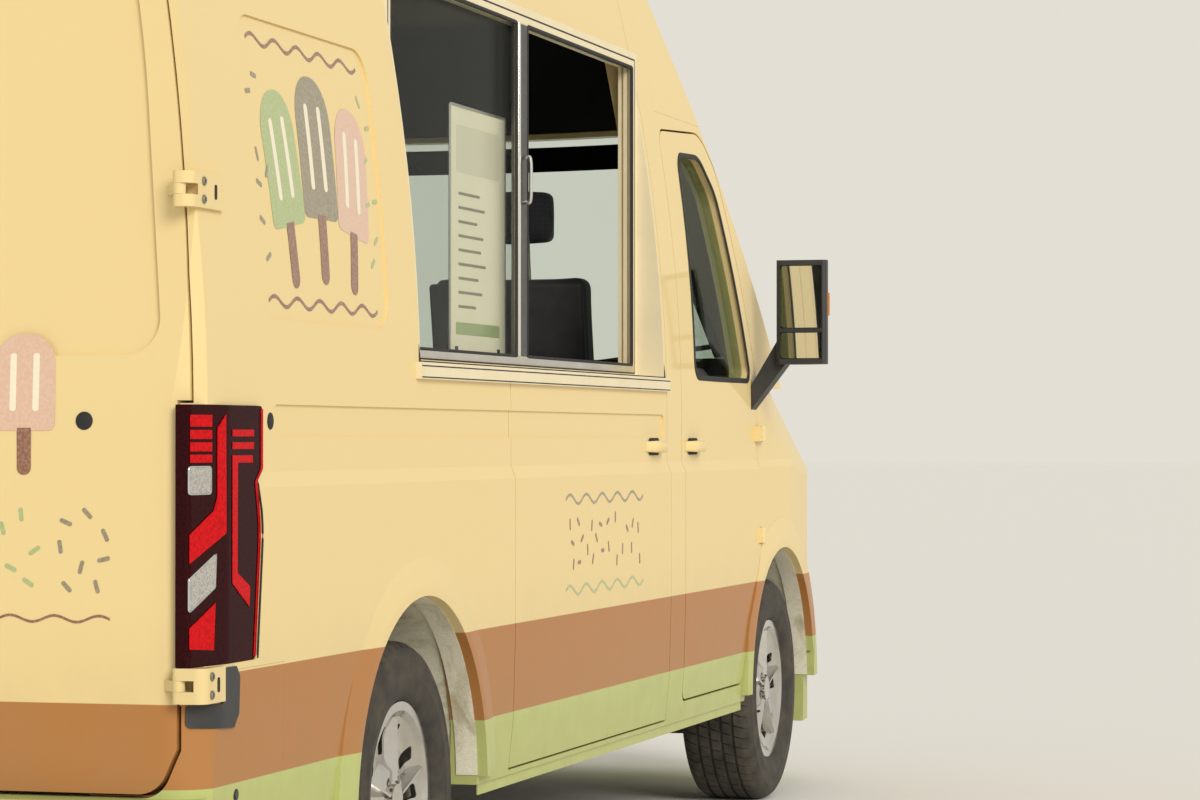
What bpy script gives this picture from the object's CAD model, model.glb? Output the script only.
import bmesh
import bpy
import random
from math import cos, exp, pi, radians, sin, sqrt, tan
from mathutils import Matrix, Vector


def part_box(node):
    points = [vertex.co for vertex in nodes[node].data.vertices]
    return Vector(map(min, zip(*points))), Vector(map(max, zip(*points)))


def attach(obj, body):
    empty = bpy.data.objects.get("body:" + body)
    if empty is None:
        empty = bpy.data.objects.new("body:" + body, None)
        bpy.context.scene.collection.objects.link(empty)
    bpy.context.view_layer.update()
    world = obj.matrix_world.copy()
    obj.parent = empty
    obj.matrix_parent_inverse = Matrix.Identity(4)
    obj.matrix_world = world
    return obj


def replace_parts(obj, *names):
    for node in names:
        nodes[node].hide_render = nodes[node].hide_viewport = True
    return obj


# Looks of the ice cream truck. Metres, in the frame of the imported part: X forward, Y to its left, Z up.

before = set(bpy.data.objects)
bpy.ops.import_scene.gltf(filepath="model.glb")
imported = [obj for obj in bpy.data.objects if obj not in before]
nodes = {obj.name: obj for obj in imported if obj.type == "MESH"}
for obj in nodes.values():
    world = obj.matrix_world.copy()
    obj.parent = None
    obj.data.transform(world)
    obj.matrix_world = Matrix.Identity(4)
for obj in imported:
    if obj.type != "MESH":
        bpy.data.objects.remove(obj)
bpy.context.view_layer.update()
SIDES = ((1, "left"), (-1, "right"))

# The body's skin, as the part has it
HALF_WIDTH = 1.020
CREASE_Z = 1.085
CREASE_STEP = 0.012
CREASE_SLOPE = 0.03
TUCK = 0.006
TUCK_TOP_Z = 0.7
TUCK_HEIGHT = 0.22
BELT_Z = 1.200
SIDE_RADIUS = 4.900
REAR_X = -2.918
REAR_LEAN = 0.055
CORNER = 0.085
# Windscreen: x and z of its foot, how far it leans back per metre of height, and its bend's radius
SCREEN_FOOT = (2.290, 1.330)
SCREEN_LEAN = 795 / 750
SCREEN_BEND = 2.080
# Tail lamp: x of its rear edge and of the fold between its faces, and y there and at its front edge
LAMP_REAR, LAMP_FOLD, LAMP_FRONT = (-2.940, 0.996), (-2.795, 1.018), (-2.602, 1.016)

# Axle, its x, and how far out the middle of its wheels stands
FRONT_AXLE_X = 2.002
AXLES = (("rear", -1.638, 0.870), ("front", FRONT_AXLE_X, 0.879))
AXLE_Z = 0.352
# Lips of the wheel arches, round the axle, and how far out the front struts stand
ARCH_RADIUS = 0.4508
STRUT_Y = 0.680
# Hub's outer face from the wheel's middle, bolts and valve from the hub's axis, valve's turn in degrees
HUB_OUT = 0.095
BOLTS, BOLT_REACH = 5, 0.052
VALVE_REACH, VALVE_TURN = 0.188, 200

# Cab doors, from the skin to the inner face
DOOR_DEPTH = 0.0625
# From one pan of the counter to the next, and from one cupboard door to the next
PAN_PITCH, CUPBOARD_PITCH = 0.290, 0.354

# Flat faces that pieces are laid on
STEP_TOP_Z = 0.4752
MIRROR_BACK_X = 1.5965
RADIATOR_X = 2.745
COUNTER_Z = 1.262
CUPBOARD_FACE = 0.439

# Seats: how far out, how far the back leans per metre of height, and the height where it starts
SEAT_Y = 0.480
SEAT_LEAN = 0.20
BACK_FOOT_Z = 1.045

# Serving window: how far out its face, ledge, track and price board stand, and the board's thickness
WINDOW_FACE = 0.925
LEDGE_FACE = 1.0201
TRACK_FACE = 0.905
BOARD_FACE, BOARD_THICK = 0.878, 0.004
# Its panes' rear and front ends, their lowest and highest edge, and the ends of the grooves round them
PANES = (("fixed_pane", -1.583, -0.610), ("open_bay", -0.520, 0.505))
PANE_LOW, PANE_TOP = 1.355, 2.189
GROOVE_ENDS = (-1.604, 0.526)


def skin(z):
    """Distance from the middle of the truck to the skin of its side."""
    if z > CREASE_Z:
        rise = max(0, z - BELT_Z)
        return HALF_WIDTH - CREASE_STEP - SIDE_RADIUS + sqrt(SIDE_RADIUS ** 2 - rise ** 2)
    if z > CREASE_Z - CREASE_SLOPE:
        return HALF_WIDTH - CREASE_STEP * (z - CREASE_Z + CREASE_SLOPE) / CREASE_SLOPE
    return HALF_WIDTH - TUCK * max(0, TUCK_TOP_Z - z) / TUCK_HEIGHT


def rear(z):
    """Where the leaning rear face stands."""
    return REAR_X + max(0, z - BELT_Z) * REAR_LEAN


def on_side(side, inset=0.0):
    """Places (x, z) on a side of the body."""
    return lambda x, z, lift: Vector((x, side * (skin(z) - inset + lift), z))


def on_rear(inset=0.0):
    """Places (y, z) on the rear face."""
    return lambda y, z, lift: Vector((rear(z) + inset - lift, y, z))


def on_flat(axis, at, out):
    """Places (u, v) on a flat face across an axis. It looks out along the axis, or back where out is -1."""
    def place(u, v, lift):
        spot = [u, v]
        spot.insert(axis, at + out * lift)
        return Vector(spot)
    return place


def on_lamp(side):
    """Places (x, z) on the two outer faces of a tail lamp."""
    def place(x, z, lift):
        start, end = (LAMP_REAR, LAMP_FOLD) if x < LAMP_FOLD[0] else (LAMP_FOLD, LAMP_FRONT)
        y = start[1] + (x - start[0]) * (end[1] - start[1]) / (end[0] - start[0])
        return Vector((x, side * (y + lift), z))
    return place


def on_screen(y, z, lift):
    """Places (y, z) on the windscreen's curved, slanted surface."""
    foot_x, foot_z = SCREEN_FOOT
    sagitta = SCREEN_BEND - sqrt(SCREEN_BEND ** 2 - y ** 2)
    return Vector((foot_x + lift * 1.4 - (z - foot_z) * SCREEN_LEAN - sagitta, y, z))


def round_corner(side):
    """Places (u, z) round a rear corner: u is 0 where the flat rear face ends, and grows forward."""
    def place(u, z, lift):
        back, centre, turn = rear(z), skin(z) - CORNER, CORNER * pi / 2
        if u < 0:
            return Vector((back - lift, side * (centre + u), z))
        reach = CORNER + lift
        if u < turn:
            angle = u / CORNER
            return Vector((back + CORNER - reach * cos(angle), side * (centre + reach * sin(angle)), z))
        return Vector((back + CORNER + u - turn, side * (centre + reach), z))
    return place


# Shapes


def bend(corners, steps=5):
    """Outline through corners (u, v) or (u, v, radius), with its corners rounded."""
    points = []
    count = len(corners)
    for index, corner in enumerate(corners):
        here = Vector(corner[:2])
        radius = corner[2] if len(corner) > 2 else 0
        if radius == 0:
            points.append(tuple(here))
            continue
        before = (Vector(corners[index - 1][:2]) - here).normalized()
        after = (Vector(corners[(index + 1) % count][:2]) - here).normalized()
        half = before.angle(after) / 2
        centre = here + (before + after).normalized() * radius / sin(half)
        start = (here + before * radius / tan(half) - centre).normalized()
        end = (here + after * radius / tan(half) - centre).normalized()
        for step in range(steps + 1):
            points.append(tuple(centre + start.slerp(end, step / steps).normalized() * radius))
    return points


def rectangle(u_low, u_high, v_low, v_high, radius=0.0, steps=5):
    corners = [(u_low, v_low), (u_high, v_low), (u_high, v_high), (u_low, v_high)]
    return bend([corner + (radius,) for corner in corners], steps) if radius else corners


def moved(shape, spot, turn, scale=1):
    """Outline turned, scaled and set down at a spot."""
    return [tuple(Vector(spot) + turn @ (Vector(point) * scale)) for point in shape]


def put(name, mesh_data, finish, body="van", sharp=35):
    """Turns a bmesh into a piece that rides on a body, smooth but for its sharp edges."""
    mesh = bpy.data.meshes.new(name)
    bmesh.ops.recalc_face_normals(mesh_data, faces=mesh_data.faces[:])
    mesh_data.to_mesh(mesh)
    mesh_data.free()
    mesh.shade_smooth()
    mesh.set_sharp_from_angle(angle=radians(sharp))
    mesh.materials.append(finish)
    piece = bpy.data.objects.new(name, mesh)
    bpy.context.scene.collection.objects.link(piece)
    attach(piece, body)
    return piece


def film(name, outlines, place, finish, lift=0.0006, thick=0.0006, body="van", step=0.05):
    """Thin piece cut to outlines and laid on a surface, with its edge turned down to it."""
    made = bmesh.new()
    for outline in outlines:
        flat = bmesh.new()
        flat.faces.new([flat.verts.new((u, v, 0)) for u, v in outline])
        bmesh.ops.triangulate(flat, faces=flat.faces[:])
        for axis in (0, 1):
            low = min(point[axis] for point in outline)
            high = max(point[axis] for point in outline)
            cuts = int((high - low) / step)
            for cut in range(cuts):
                at = low + (high - low) * (cut + 1) / (cuts + 1)
                bmesh.ops.bisect_plane(flat, geom=flat.verts[:] + flat.edges[:] + flat.faces[:],
                                       plane_co=(at, at, 0), plane_no=(1 - axis, axis, 0), dist=1e-6)
        flat.verts.index_update()
        lower, upper = ([made.verts.new(place(vertex.co.x, vertex.co.y, height)) for vertex in flat.verts]
                        for height in (lift, lift + thick))
        for face in flat.faces:
            made.faces.new([upper[v.index] for v in face.verts])
            made.faces.new([lower[v.index] for v in reversed(face.verts)])
        for edge in flat.edges:
            if edge.is_boundary:
                a, b = (v.index for v in edge.verts)
                made.faces.new([lower[a], lower[b], upper[b], upper[a]])
        flat.free()
    return put(name, made, finish, body)


def bridge(made, one, two, closed=True):
    """Faces between two rings, or two rows, of as many points."""
    count = len(one)
    for k in range(count if closed else count - 1):
        after = (k + 1) % count
        made.faces.new([one[k], one[after], two[after], two[k]])


def rounded_cube(low, high, share, radius, segments):
    """Mesh data of a block with rounded edges, whose radius stays under a share of its least size."""
    low, high = Vector(map(min, low, high)), Vector(map(max, low, high))
    size = high - low
    made = bmesh.new()
    bmesh.ops.create_cube(made, size=1)
    for vertex in made.verts:
        vertex.co = Vector(a * b for a, b in zip(vertex.co, size)) + (high + low) / 2
    bmesh.ops.bevel(made, geom=made.edges[:], offset=min(radius, min(size) * share), segments=segments,
                    affect="EDGES", profile=0.5)
    return made


def block(name, low, high, radius, finish, body="van"):
    """Block with rounded edges between two opposite corners."""
    return put(name, rounded_cube(low, high, 0.49, radius, 3), finish, body)


def turned(name, profile, centre, axis, finish, steps=48, body="van"):
    """Piece turned on a lathe from (radius, height) points, closed where the radius is 0."""
    made = bmesh.new()
    along = Vector(axis).normalized()
    across = along.orthogonal().normalized()
    third = along.cross(across)
    rings = []
    for radius, height in profile:
        middle = Vector(centre) + along * height
        if radius == 0:
            rings.append([made.verts.new(middle)])
            continue
        ring = []
        for step in range(steps):
            angle = 2 * pi * step / steps
            ring.append(made.verts.new(middle + (across * cos(angle) + third * sin(angle)) * radius))
        rings.append(ring)
    for one, two in zip(rings, rings[1:]):
        for step in range(steps):
            after = (step + 1) % steps
            corners = [one[step % len(one)], one[after % len(one)],
                       two[after % len(two)], two[step % len(two)]]
            made.faces.new(list(dict.fromkeys(corners)))
    return put(name, made, finish, body)


def ring_section(radius, sides=10):
    return [(radius * cos(2 * pi * k / sides), radius * sin(2 * pi * k / sides)) for k in range(sides)]


def swept(name, path, section, finish, body="van", up=(0, 0, 1)):
    """Section drawn along a path, its second axis towards up."""
    made = bmesh.new()
    path = [Vector(point) for point in path]
    rings = []
    for index, point in enumerate(path):
        along = path[min(index + 1, len(path) - 1)] - path[max(index - 1, 0)]
        along.normalize()
        across = along.cross(Vector(up))
        if across.length < 0.02:
            across = along.orthogonal()
        across.normalize()
        rise = across.cross(along)
        rings.append([made.verts.new(point + across * a + rise * b) for a, b in section])
    for one, two in zip(rings, rings[1:]):
        bridge(made, one, two)
    made.faces.new(rings[0])
    made.faces.new(list(reversed(rings[-1])))
    return put(name, made, finish, body)


def curve(points, steps=10):
    """Smooth path through points."""
    points = [Vector(point) for point in points]
    path = []
    for index in range(len(points) - 1):
        a = points[max(index - 1, 0)]
        b, c = points[index], points[index + 1]
        d = points[min(index + 2, len(points) - 1)]
        for step in range(steps):
            t = step / steps
            bow, twist = 2 * a - 5 * b + 4 * c - d, 3 * b - a - 3 * c + d
            path.append(0.5 * (2 * b + (c - a) * t + bow * t ** 2 + twist * t ** 3))
    return path + [points[-1]]


def beading(name, outline, place, width, height, finish, body="van"):
    """Rounded strip laid along a closed outline on a surface, and sunk into it by a millimetre."""
    made = bmesh.new()
    count = len(outline)
    section = [(-0.5, 0), (-0.42, 0.75), (-0.2, 1), (0.2, 1), (0.42, 0.75), (0.5, 0)]
    rings = []
    for index, point in enumerate(outline):
        here, last = Vector(point), Vector(outline[index - 1])
        along = (Vector(outline[(index + 1) % count]) - last).normalized()
        before = (here - last).normalized()
        across = Vector((-along.y, along.x))
        stretch = 1 / max(0.5, along.dot(before))
        ring = []
        for a, b in section:
            spot = here + across * a * width * stretch
            ring.append(made.verts.new(place(spot.x, spot.y, b * height - 0.001)))
        rings.append(ring)
    for index, ring in enumerate(rings):
        bridge(made, ring, rings[(index + 1) % count])
    return put(name, made, finish, body, 50)


# Materials


def colour(code):
    """sRGB hex code as linear red, green, blue and 1."""
    parts = [int(code[index:index + 2], 16) / 255 for index in (0, 2, 4)]
    linear = (part / 12.92 if part <= 0.04045 else ((part + 0.055) / 1.055) ** 2.4 for part in parts)
    return (*linear, 1.0)


def add(tree, kind, links, **settings):
    """Adds a shader node with its settings, and with its inputs linked or set."""
    made = tree.nodes.new("ShaderNode" + kind)
    for key, value in settings.items():
        setattr(made, key, value)
    for key, value in links.items():
        socket = made.inputs[key]
        if isinstance(value, bpy.types.NodeSocket):
            tree.links.new(value, socket)
        else:
            socket.default_value = value
    return made


def surface(name, slot, code, roughness, **sockets):
    """New material with its one shader, and the place on the truck that its patterns follow."""
    made = bpy.data.materials.new(name)
    made.use_nodes = True
    made["slot"] = slot
    tree = made.node_tree
    shader = tree.nodes["Principled BSDF"]
    shader.inputs["Base Color"].default_value = colour(code)
    shader.inputs["Roughness"].default_value = roughness
    for key, value in sockets.items():
        shader.inputs[key.replace("_", " ")].default_value = value
    return made, tree, shader, add(tree, "TexCoord", {}).outputs["Object"]


def noise(tree, where, scale, detail, **more):
    """Cloudy value between 0 and 1 over a surface."""
    return add(tree, "TexNoise", {"Vector": where, "Scale": scale, "Detail": detail, **more}).outputs["Fac"]


def ranged(tree, value, low, high, to_low=0.0, to_high=1.0):
    """Value carried over from one range to another."""
    return add(tree, "MapRange", {"Value": value, "From Min": low, "From Max": high,
                                  "To Min": to_low, "To Max": to_high}).outputs[0]


def product(tree, first, second):
    return add(tree, "Math", {0: first, 1: second}, operation="MULTIPLY").outputs[0]


def blended(tree, factor, first, second):
    """Colour that goes from the first to the second with the factor."""
    return add(tree, "Mix", {0: factor, 6: first, 7: second}, data_type="RGBA").outputs[2]


def tinted(tree, shader, factor, first, second):
    """Gives a surface the blend of two colours."""
    tree.links.new(blended(tree, factor, first, second), shader.inputs["Base Color"])


def embossed(tree, shader, height, strength, depth):
    """Gives a surface a relief."""
    relief = add(tree, "Bump", {"Height": height, "Strength": strength, "Distance": depth})
    tree.links.new(relief.outputs[0], shader.inputs["Normal"])


def grained(tree, shader, where, size_mm, depth_mm, stretch=(1, 1, 1)):
    """Fine relief in a surface, with grains of a real size."""
    drawn = add(tree, "Mapping", {"Vector": where, "Scale": stretch})
    embossed(tree, shader, noise(tree, drawn.outputs[0], 1000 / size_mm, 3), 1.0, depth_mm / 1000)


def worn(name, slot, code, roughness, dust, drift_mm, share, grain_mm, depth_mm, stretch=(1, 1, 1),
         **sockets):
    """Material whose colour and gloss drift slowly with dust, handling and age, and whose grain shows."""
    made, tree, shader, where = surface(name, slot, code, roughness, **sockets)
    cloud = noise(tree, where, 1000 / drift_mm, 5, Roughness=0.6)
    amount = ranged(tree, cloud, 0.35, 0.75, 0.0, share)
    tinted(tree, shader, amount, colour(code), colour(dust))
    gloss = ranged(tree, cloud, 0.3, 0.75, roughness * 0.85, roughness * 1.2)
    tree.links.new(gloss, shader.inputs["Roughness"])
    grained(tree, shader, where, grain_mm, depth_mm, stretch)
    return made


CREAM = "EBD398"
CARAMEL = "B5793F"
PISTACHIO = "BFCA7C"
ROAD_DUST = "9A8C6C"
PALE_PLY = "C9C8C1"


def body_paint(name, cream_from, caramel_from, inside, inner_code):
    """Acrylic car paint under clear lacquer, with bands of coloured film below: glossy, faintly rippled,
    dusty low down. inside names the axis along which the panel's inner face looks back, and inner_code
    gives the colour of its lining."""
    made, tree, shader, where = surface(name, "cream_paint", CREAM, 0.4, Specular_IOR_Level=0.0,
                                        Coat_Weight=0.5, Coat_Roughness=0.06)
    height = add(tree, "SeparateXYZ", {"Vector": where})
    to_caramel, to_cream = (ranged(tree, height.outputs["Z"], edge - 0.0005, edge + 0.0005)
                            for edge in (caramel_from, cream_from))
    bands = blended(tree, to_caramel, colour(PISTACHIO), colour(CARAMEL))
    bands = blended(tree, to_cream, bands, colour(CREAM))
    # Road dust lies thickest at the sill and is gone at about knee height
    low = ranged(tree, height.outputs["Z"], 0.3, 0.85, 0.6, 0.0)
    dust = product(tree, low, noise(tree, where, 9.0, 6, Roughness=0.65))
    painted = blended(tree, dust, bands, colour(ROAD_DUST))
    gloss = ranged(tree, dust, 0.0, 0.4, 0.05, 0.3)
    # The inner face carries the lining, also when its door stands open
    facing = add(tree, "SeparateXYZ", {"Vector": add(tree, "TexCoord", {}).outputs["Normal"]})
    back = product(tree, height.outputs[inside], facing.outputs[inside])
    tinted(tree, shader, ranged(tree, back, -0.30, -0.34), painted, colour(inner_code))
    tree.links.new(gloss, shader.inputs["Coat Roughness"])
    # Lacquer's ripple, about 4 mm from crest to crest
    grained(tree, shader, where, 4.0, 0.012)
    return made


# Cream body with its caramel and pistachio bands, lined with pale ply in the load space
side_paint = body_paint("lacquered_paint_sides", 0.708, 0.497, "Y", PALE_PLY)
# The same paint on the roof, lined with dark needled cloth
roof_paint = body_paint("lacquered_paint_roof", 0.708, 0.497, "Z", "2E2E2D")
# The caramel film starts lower on the rear doors
rear_paint = body_paint("lacquered_paint_rear_doors", 0.655, 0.300, "X", PALE_PLY)
# Front doors and cab, with dark moulded trim inside
door_paint = body_paint("lacquered_paint_cab_doors", 0.708, 0.497, "Y", "3A3B3D")
# Grained polypropylene: charcoal, dull, with a leathery moulded grain of about 1.5 mm
plastic = worn("moulded_dark_plastic", "dark_plastic", "2B2C2E", 0.55, "55524A", 90, 0.35, 1.5, 0.10)
# Smooth black ABS for lamp housings and wiper arms
black_plastic = worn("satin_black_plastic", "dark_plastic", "121315", 0.35, "3A3833", 60, 0.2, 3.0, 0.02)
# Extruded rubber of seals, matt and faintly chalky
rubber = worn("extruded_seal_rubber", "dark_plastic", "17171A", 0.7, "4A4843", 40, 0.35, 1.0, 0.03)
# Anodised aluminium of the serving window: fine lines along the bar
anodised = worn("anodised_aluminium", "window_aluminium", "D6D5CF", 0.34, "A5A49E", 120, 0.25, 2.0, 0.03,
                (0.03, 1, 1), Metallic=1.0)
# Aluminium under a cream powder coat, on the window's surround and ledge
coated_bar = worn("powder_coated_aluminium", "window_aluminium", "EFE1BC", 0.45, "CDBE98", 120, 0.25, 1.5,
                  0.02)
# The same metal polished bright, on the slim stile between the panes
bright_bar = worn("polished_aluminium_stile", "window_aluminium", "EDEBE4", 0.22, "CFCDC6", 90, 0.2, 2.0,
                  0.01, (0.03, 1, 1), Metallic=1.0)
# Machined and lacquered alloy of the wheels: bright, with a faint haze of brake dust
alloy = worn("lacquered_alloy", "alloy", "CDCBC6", 0.2, "7E776C", 70, 0.35, 1.2, 0.012, Metallic=1.0,
             Coat_Weight=0.5, Coat_Roughness=0.08)
# Tyre rubber, grey with dust in the open grain
tyre_rubber = worn("vulcanised_tyre_rubber", "tyre_rubber", "2A2724", 0.75, "6B6252", 55, 0.5, 1.5, 0.08)
# Painted chassis steel, black and stone-chipped
frame_steel = worn("painted_chassis_steel", "frame_steel", "26272A", 0.5, "5C5142", 80, 0.5, 4.0, 0.15)
# Cast iron and cast alloy of hubs and suspension: rough sand-cast skin
cast = worn("sand_cast_iron", "cast", "5E5C58", 0.55, "6A4F38", 50, 0.5, 2.0, 0.25, Metallic=0.7)
# Engine block: cast aluminium
engine_cast = worn("cast_aluminium_block", "engine_block", "8B8D8E", 0.5, "5B5449", 90, 0.5, 3.0, 0.3,
                   Metallic=0.8)
# Stainless exhaust with tan heat tint
exhaust_steel = worn("heat_tinted_exhaust_steel", "exhaust_steel", "8C8278", 0.4, "6B4A30", 120, 0.6, 3.0,
                     0.05, Metallic=1.0)
# Blow-moulded tank
tank_plastic = worn("blow_moulded_tank", "tank_plastic", "1E1F20", 0.6, "57503F", 100, 0.5, 5.0, 0.2)
# Brushed stainless counter: hairlines along its length
counter_steel = worn("brushed_stainless_counter", "counter_steel", "B6B8B8", 0.3, "8F9090", 150, 0.25, 1.5,
                     0.02, (0.02, 1, 1), Metallic=1.0)
# White melamine-faced board of the cupboards
cabinet_board = worn("melamine_faced_board", "cabinet_board", "DEDCD4", 0.4, "BDB8AA", 200, 0.3, 2.5, 0.03)
# Phenolic-coated ply floor with a printed anti-slip mesh, drawn at 6 mm
floor_board = worn("phenolic_ply_floor", "floor_board", "4A3A2E", 0.5, "7A6E5C", 160, 0.45, 6.0, 0.25)


def liner_material():
    """Needled felt of the wheel arch: pale grey-green, matt, splashed with dried mud."""
    made, tree, shader, where = surface("needled_felt_liner", "liner_felt", "AFAF97", 0.95)
    splash = noise(tree, where, 7.0, 8, Roughness=0.7, Distortion=0.6)
    muddy = blended(tree, ranged(tree, splash, 0.48, 0.66), colour("F1ECD6"), colour("BDB292"))
    # Fibres about 3 mm long show as a soft mottle
    fibre = noise(tree, where, 320.0, 3)
    tinted(tree, shader, ranged(tree, fibre, 0.35, 0.7, 0.0, 0.3), muddy, colour("A29C84"))
    embossed(tree, shader, fibre, 0.8, 0.0012)
    return made


def cloth_material(name, code, second):
    """Woven car-seat cloth: threads about 2 mm apart, drawn a little coarse to show, and a soft sheen."""
    made, tree, shader, where = surface(name, "seat_fabric", code, 0.9, Sheen_Weight=0.3, Sheen_Roughness=0.4)
    warp, weft = (add(tree, "TexWave", {"Vector": where, "Scale": 1000 / 2.2 / 20, "Distortion": 0.6},
                      bands_direction=axis).outputs["Fac"] for axis in "YZ")
    cross = product(tree, warp, weft)
    mottled = blended(tree, noise(tree, where, 90.0, 4), colour(code), colour(second))
    tinted(tree, shader, ranged(tree, cross, 0.0, 1.0, 0.35, 0.0), mottled, colour("0C0D10"))
    embossed(tree, shader, cross, 0.7, 0.0006)
    return made


def pane_material(name, code, shine):
    """Float glass: clear but for its tint, with a mirror sheen that grows at a glance."""
    made, tree, shader, where = surface(name, "glass", "0E1110", 0.02, Specular_IOR_Level=1.0)
    clear = add(tree, "BsdfTransparent", {"Color": colour(code)})
    # Wiped glass keeps a thin film, seen as a slow change in the share that is reflected
    haze = ranged(tree, noise(tree, where, 4.0, 4), 0.0, 1.0, 0.01, 0.03)
    # A pane reflects much more where it is seen at a glance; both of its faces count alike
    glance = add(tree, "LayerWeight", {"Blend": 0.5})
    steep = add(tree, "Math", {0: glance.outputs["Facing"], 1: 5.0}, operation="POWER")
    share = add(tree, "Math", {0: steep.outputs[0], 1: shine, 2: haze}, operation="MULTIPLY_ADD")
    mixed = add(tree, "MixShader", {0: share.outputs[0], 1: clear.outputs[0], 2: shader.outputs[0]})
    tree.links.new(mixed.outputs[0], tree.nodes["Material Output"].inputs["Surface"])
    return made


def lens_material(name, slot, code, dark, pitch_mm):
    """Moulded acrylic lens: deep gloss over prisms of a few millimetres that catch the light."""
    made, tree, shader, where = surface(name, slot, code, 0.1, Specular_IOR_Level=0.0, Coat_Weight=0.2,
                                        Coat_Roughness=0.03)
    cells = add(tree, "TexVoronoi", {"Vector": where, "Scale": 1000 / pitch_mm}, feature="F1",
                distance="CHEBYCHEV").outputs["Distance"]
    tinted(tree, shader, ranged(tree, cells, 0.0, 0.6, 0.0, 0.75), colour(code), colour(dark))
    embossed(tree, shader, cells, 0.5, 0.0008)
    return made


def print_material(name, code):
    """Printed vinyl film: flat even colour with a satin face and the faint grain of the print."""
    made, tree, shader, where = surface(name, "cream_paint", code, 0.35, Coat_Weight=0.3)
    dots = noise(tree, where, 160.0, 2)
    tinted(tree, shader, ranged(tree, dots, 0.4, 0.7, 0.0, 0.12), colour(code), colour("FFFFFF"))
    return made


felt = liner_material()
cloth = cloth_material("woven_seat_cloth", "2E3034", "44474D")
bolster = cloth_material("woven_seat_cloth_sides", "222327", "313338")
screen_glass = pane_material("laminated_screen_glass", "F0F5F1", 0.6)
cab_glass = pane_material("tempered_door_glass", "E6EEE8", 0.6)
serving_glass = pane_material("float_glass_panes", "FEFFFE", 0.35)
# Tail lamp: near-black maroon lens with lit red elements and clear ones
lamp_body = lens_material("maroon_acrylic_lens", "lamp_red", "3C060B", "1C0205", 6.0)
lamp_red = lens_material("red_acrylic_prisms", "lamp_red", "E80E17", "A8060E", 7.0)
lamp_edge = lens_material("red_acrylic_rim", "lamp_red", "D20C14", "9A070C", 9.0)
lamp_clear = lens_material("clear_acrylic_prisms", "lamp_clear", "C9C7BE", "8D8B84", 5.0)
lamp_amber = lens_material("amber_acrylic_lens", "lamp_clear", "E08A1E", "A85A0C", 4.0)
# Vacuum-metallised reflector: a mirror with a slight haze
reflector = worn("metallised_reflector", "lamp_clear", "D8DADB", 0.08, "B8BABB", 30, 0.2, 8.0, 0.02,
                 Metallic=1.0)
# Silvered glass of the mirrors
mirror_silver = worn("silvered_mirror_glass", "glass", "DDE0E1", 0.02, "C8CCCD", 60, 0.1, 50.0, 0.001,
                     Metallic=1.0)
clear_cover = pane_material("clear_polycarbonate_cover", "FAFBFB", 0.4)
# Zinc-plated screws and pins
zinc = worn("zinc_plated_steel", "frame_steel", "9A9890", 0.35, "6E6656", 15, 0.4, 1.0, 0.03, Metallic=1.0)
# Baked ceramic band round the screen, flat black
frit = worn("baked_ceramic_band", "glass", "08090A", 0.3, "101112", 30, 0.2, 3.0, 0.005)
# Powder-coated white of the sign board and the blank plates
white_card = worn("powder_coated_board", "cabinet_board", "FFF6DC", 0.5, "F2E6C4", 80, 0.3, 1.0, 0.02)
plate_white = worn("blank_number_plate", "cabinet_board", "E6E6E2", 0.35, "C9C9C2", 60, 0.3, 1.5, 0.02)
# Webbing of the seat belts, ribbed across every 2 mm
webbing = cloth_material("woven_belt_webbing", "1C1D20", "26282C")
# Polyurethane skin of the steering wheel and gear knob, with a fine leather grain
soft_skin = worn("grained_polyurethane_skin", "dark_plastic", "1B1C1F", 0.5, "2E2F33", 40, 0.3, 2.0, 0.12)
# Diffuser of the ceiling strip lamp
diffuser = worn("opal_diffuser", "lamp_clear", "F1EFE8", 0.4, "DEDACD", 60, 0.2, 2.0, 0.02)
print_brown = print_material("printed_film_brown", "8A5A3C")
print_grey = print_material("printed_film_taupe", "8F8468")
print_green = print_material("printed_film_green", "A9B878")
print_pink = print_material("printed_film_blush", "DDB79C")
print_pale = print_material("printed_film_pale", "F2E8CC")


def pairs(*stems):
    """Names of the nodes that come as a left and a right one."""
    return tuple(f"{stem}_{word}" for stem in stems for _, word in SIDES)


FINISHES = {
    side_paint: pairs("side_panel") + ("sliding_door", "rear_bumper", "front_wings", "front_bumper"),
    roof_paint: ("roof", "cab_roof", "bonnet"),
    rear_paint: pairs("rear_door") + ("rear_portal",),
    door_paint: pairs("front_door") + ("cab_frame",),
    plastic: pairs("mirror") + ("dashboard", "grille"),
    soft_skin: ("steering_wheel",),
    black_plastic: ("headlamps",),
    lamp_body: ("tail_lamps",),
    coated_bar: ("serving_window_frame",),
    serving_glass: ("serving_window_glass",),
    screen_glass: ("windscreen",),
    cab_glass: pairs("door_glass"),
    alloy: pairs("rim_front", "rim_rear"),
    tyre_rubber: pairs("tyre_front", "tyre_rear"),
    frame_steel: ("underframe",),
    felt: ("wheel_arch_liners",),
    cast: pairs("knuckle") + ("front_suspension", "rear_suspension"),
    engine_cast: ("engine",),
    exhaust_steel: ("exhaust",),
    tank_plastic: ("fuel_tank",),
    counter_steel: ("serving_counter",),
    cabinet_board: ("cabinet",),
    floor_board: ("floor",),
    cloth: ("seats",),
}
for finish, names in FINISHES.items():
    for name in names:
        for material_slot in nodes[name].material_slots:
            material_slot.material = finish

# Pieces. Turned profiles are rows of (radius, height).

PLUG = [(0, 0.0035), (0.012, 0.003), (0.0165, 0.0012), (0.0175, -0.001), (0, -0.001)]


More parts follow.
